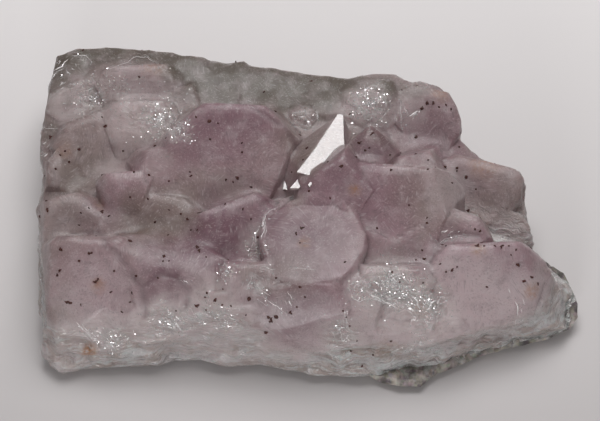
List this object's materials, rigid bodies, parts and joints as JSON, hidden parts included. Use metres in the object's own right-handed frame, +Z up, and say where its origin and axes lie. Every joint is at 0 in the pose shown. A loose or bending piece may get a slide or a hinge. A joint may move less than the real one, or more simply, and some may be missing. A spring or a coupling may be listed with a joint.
{
  "type": "amethyst cluster",
  "caption": "Palm-sized piece of amethyst druse: stubby six-sided quartz crystals on a broken slab of massive quartz, with a thin skin of host rock under it.",
  "frame": {"origin": "centre of the bounding box, on the surface that the cluster rests on", "axes": "+Z up through the crystal tips, +X along the long side towards the narrow end, -Y towards the low front edge"},
  "size_m": [0.1, 0.064, 0.0251],
  "materials": {
    "amethyst": "pale mauve to grey-green quartz, translucent, with glassy crystal faces and sugary broken edges",
    "host_rock": "rough dull grey-brown stone"
  },
  "bodies": {
    "root": {"amethyst_crystals": "amethyst", "host_rock": "host_rock"}
  },
  "joints": []
}
